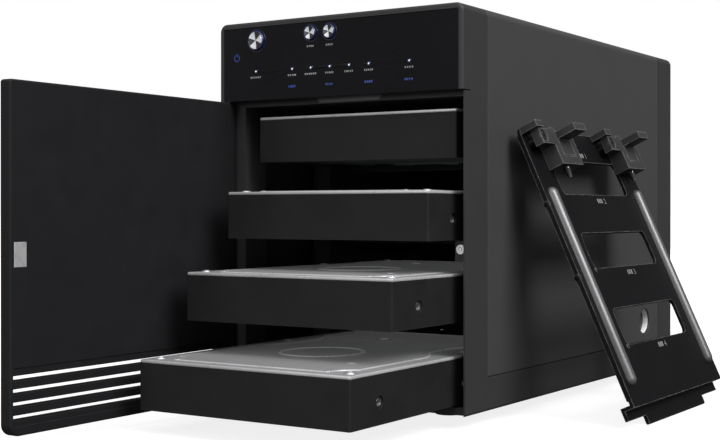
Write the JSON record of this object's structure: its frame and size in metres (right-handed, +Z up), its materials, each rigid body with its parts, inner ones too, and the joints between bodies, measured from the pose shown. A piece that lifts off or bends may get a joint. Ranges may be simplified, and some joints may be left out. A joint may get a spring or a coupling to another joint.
{
  "type": "network attached storage",
  "caption": "Upright drive enclosure, opened: side-hinged vented front door, staggered slide-in hard drives, button panel above, loose drive retainer leaning on its side.",
  "frame": {"origin": "on the surface the feet stand on, under the middle of the housing's footprint", "axes": "+Z up, -Y out of the front opening, +Y out of the back where the sockets are, +X to the right seen from the front, towards the leaning retainer"},
  "size_m": [0.1838, 0.3442, 0.1705],
  "materials": {
    "housing_black": "satin, very fine texture",
    "cover_charcoal": "satin powder coat",
    "panel_gloss": "piano gloss",
    "door_black": "matte, fine texture",
    "button_chrome": "turned, bright",
    "steel_plain": "brushed",
    "steel_black": "satin black",
    "drive_casting": "matte black coated casting",
    "drive_lid": "fine brushed",
    "circuit_green": "solder mask",
    "connector_black": "moulded",
    "rubber_black": "matte",
    "pad_grey": "satin",
    "magnet_white": "plated",
    "clear_pipe": "clear acrylic",
    "strip_grey": "brushed",
    "screw_steel": "zinc plated",
    "strip_dark": "satin",
    "screw_black": "satin",
    "fan_black": "moulded"
  },
  "bodies": {
    "root": {"front_bezel": "housing_black", "control_panel": "panel_gloss", "housing_shell": "cover_charcoal", "base_tray": "housing_black", "rear_bezel": "housing_black", "rear_panel": "steel_black", "data_ports": "steel_plain", "power_inlet": "connector_black", "door_grip_strip": "strip_dark", "magnet_bracket": "housing_black", "door_magnet": "magnet_white", "lock_port": "steel_plain", "rubber_feet": "rubber_black", "light_pipes": "clear_pipe", "panel_board": "circuit_green", "tact_switches": "connector_black", "top_shelf": "steel_plain", "main_board": "circuit_green", "board_standoffs": "screw_steel", "case_screws": "screw_steel", "cage_left": "steel_black", "cage_right": "steel_black", "cage_cross_bars": "steel_black", "backplane_board": "circuit_green", "backplane_connectors": "connector_black", "fan_frame": "fan_black", "fan_grille": "steel_plain", "fan_screws": "screw_steel"},
    "door": {"door_panel": "door_black", "strike_plate": "strip_grey", "hinge_pins": "screw_steel"},
    "fan": {"fan_rotor": "fan_black"},
    "power_button": {"power_button": "button_chrome"},
    "sync_button": {"sync_button": "button_chrome"},
    "mode_button": {"mode_button": "button_chrome"},
    "retainer": {"retainer_plate": "steel_black", "retainer_pads": "pad_grey", "latch_housing_left": "housing_black", "latch_housing_right": "housing_black", "latch_spring_left": "steel_plain", "latch_spring_right": "steel_plain", "latch_screws": "screw_black"},
    "latch_left": {"latch_slide_left": "housing_black"},
    "latch_right": {"latch_slide_right": "housing_black"},
    "drive_1": {"drive_1_casting": "drive_casting", "drive_1_lid": "drive_lid", "drive_1_screws": "screw_steel", "drive_1_board": "circuit_green"},
    "drive_2": {"drive_2_casting": "drive_casting", "drive_2_lid": "drive_lid", "drive_2_screws": "screw_steel", "drive_2_board": "circuit_green"},
    "drive_3": {"drive_3_casting": "drive_casting", "drive_3_lid": "drive_lid", "drive_3_screws": "screw_steel", "drive_3_board": "circuit_green"},
    "drive_4": {"drive_4_casting": "drive_casting", "drive_4_lid": "drive_lid", "drive_4_screws": "screw_steel", "drive_4_board": "circuit_green"}
  },
  "joints": [
    {"name": "door_hinge", "type": "hinge", "parent": "root", "child": "door", "pos_m": [-0.06, -0.10975, 0.0055], "axis": [0, 0, -1], "range_deg": [-5.5, 25]},
    {"name": "drive_1_slide", "type": "slide", "parent": "root", "child": "drive_1", "axis": [0, -1, 0], "range_m": [-0.0046, 0.0886]},
    {"name": "drive_2_slide", "type": "slide", "parent": "root", "child": "drive_2", "axis": [0, -1, 0], "range_m": [-0.0257, 0.0675]},
    {"name": "drive_3_slide", "type": "slide", "parent": "root", "child": "drive_3", "axis": [0, -1, 0], "range_m": [-0.0509, 0.0423]},
    {"name": "drive_4_slide", "type": "slide", "parent": "root", "child": "drive_4", "axis": [0, -1, 0], "range_m": [-0.0774, 0.0158]},
    {"name": "power_button_press", "type": "slide", "parent": "root", "child": "power_button", "axis": [0, 1, 0], "range_m": [0, 0.0012], "stiffness_N_per_m": 500, "springref_m": -0.001},
    {"name": "sync_button_press", "type": "slide", "parent": "root", "child": "sync_button", "axis": [0, 1, 0], "range_m": [0, 0.0012], "stiffness_N_per_m": 500, "springref_m": -0.001},
    {"name": "mode_button_press", "type": "slide", "parent": "root", "child": "mode_button", "axis": [0, 1, 0], "range_m": [0, 0.0012], "stiffness_N_per_m": 500, "springref_m": -0.001},
    {"name": "fan_spin", "type": "hinge", "parent": "root", "child": "fan", "pos_m": [0.006, 0.0925, 0.0715], "axis": [0, 1, 0], "continuous": true},
    {"name": "retainer_tip", "type": "hinge", "parent": "root", "child": "retainer", "pos_m": [0.11894, -0.02488, 0.0008], "axis": [0, 1, 0], "range_deg": [0, 80]},
    {"name": "latch_left_slide", "type": "slide", "parent": "retainer", "child": "latch_left", "axis": [-0.4212, 0, 0.907], "range_m": [0, 0.0036], "stiffness_N_per_m": 300, "springref_m": -0.002, "deforming": ["latch_spring_left"]},
    {"name": "latch_right_slide", "type": "slide", "parent": "retainer", "child": "latch_right", "axis": [-0.4212, 0, 0.907], "range_m": [0, 0.0036], "stiffness_N_per_m": 300, "springref_m": -0.002, "deforming": ["latch_spring_right"]}
  ]
}
